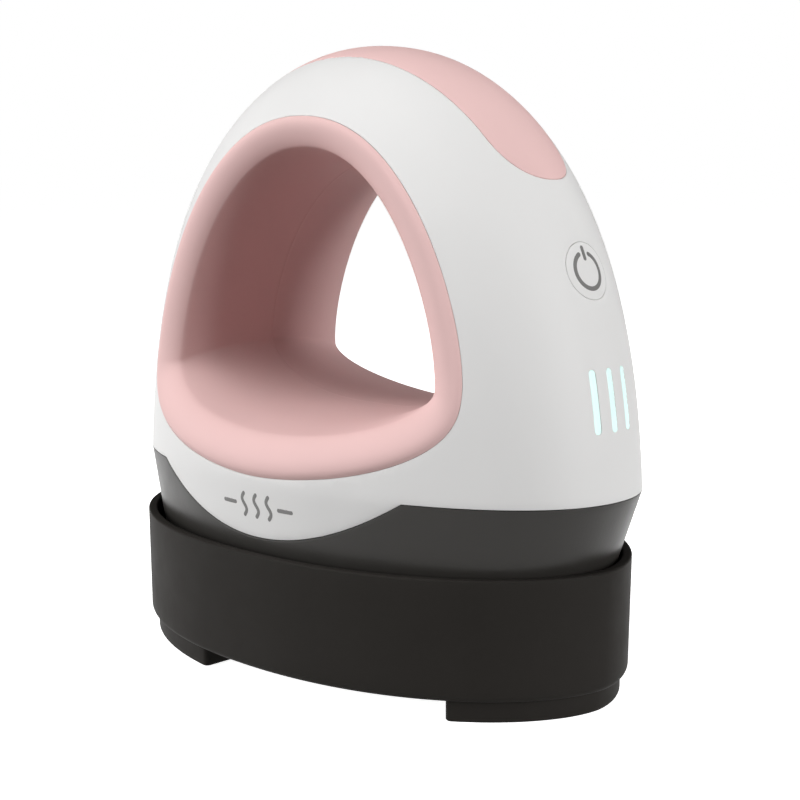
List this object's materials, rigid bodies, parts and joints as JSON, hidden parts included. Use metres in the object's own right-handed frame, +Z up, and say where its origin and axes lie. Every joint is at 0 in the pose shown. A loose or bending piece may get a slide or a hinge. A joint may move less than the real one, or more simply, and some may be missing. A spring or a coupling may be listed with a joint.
{
  "type": "portable mini heat press",
  "caption": "Hand-held arch-shaped mini heat press with a lined hand tunnel, power button and light bars, standing in its insulated safety base.",
  "frame": {"origin": "middle of the footprint, on the surface that the safety base stands on", "axes": "+Z up and out of the safety base; +X to the nose with the power button and status lights; the hand tunnel runs along Y"},
  "size_m": [0.1263, 0.078, 0.1287],
  "materials": {
    "shell": "satin off-white moulding",
    "liner": "satin pastel pink moulding",
    "housing": "satin charcoal moulding",
    "tray": "soft matt charcoal moulding",
    "mark": "grey inlaid print",
    "steel": "zinc-plated steel",
    "black_part": "black moulded part",
    "board": "green printed circuit board",
    "light_guide": "clear diffusing light guide, lit pale cyan",
    "plate": "aluminium with a dark non-stick coating",
    "mica": "pressed mica board",
    "wool": "ceramic fibre felt",
    "ceramic": "glazed ceramic",
    "silicone": "heat-proof silicone",
    "yellow_wrap": "yellow insulating wrap",
    "capacitor_sleeve": "dark blue sleeve",
    "terminal_plastic": "green terminal housing",
    "lead_sleeve": "woven glass and silicone sleeve",
    "gland_rubber": "flexible strain relief rubber"
  },
  "bodies": {
    "base": {"base_tray": "tray", "rear_foot": "tray", "front_foot": "tray", "foot_screws": "steel", "insulation_board": "mica", "rest_pads": "silicone"},
    "press": {"liner_left": "liner", "liner_right": "liner", "outer_shell": "shell", "top_cover": "liner", "lower_housing": "housing", "tact_switch": "black_part", "switch_board": "board", "light_guide": "light_guide", "light_shield": "black_part", "control_board": "board", "status_leds": "light_guide", "heating_plate": "plate", "heating_element": "mica", "pressure_plate": "steel", "thermal_insulation": "wool", "heat_shield": "steel", "plate_posts": "ceramic", "plate_screws": "steel", "plate_gasket": "silicone", "temperature_probe": "ceramic", "thermal_fuse": "steel", "power_board": "board", "board_standoffs": "ceramic", "board_screws": "steel", "relay": "black_part", "transformer": "yellow_wrap", "smoothing_capacitor": "capacitor_sleeve", "film_capacitor": "yellow_wrap", "triac": "black_part", "terminal_block": "terminal_plastic", "heater_leads": "lead_sleeve", "control_cable": "lead_sleeve", "cord_gland": "gland_rubber", "cord_clamp": "black_part", "cord_clamp_screws": "steel", "housing_screws": "steel"},
    "button": {"power_button": "shell", "button_mark": "mark", "button_plunger": "steel"}
  },
  "joints": [
    {"name": "press_lift", "type": "slide", "parent": "base", "child": "press", "axis": [0, 0, 1], "range_m": [0, 0.06]},
    {"name": "button_press", "type": "slide", "parent": "press", "child": "button", "axis": [-0.9411, 0, -0.3381], "range_m": [0, 0.0008], "stiffness_N_per_m": 400}
  ]
}
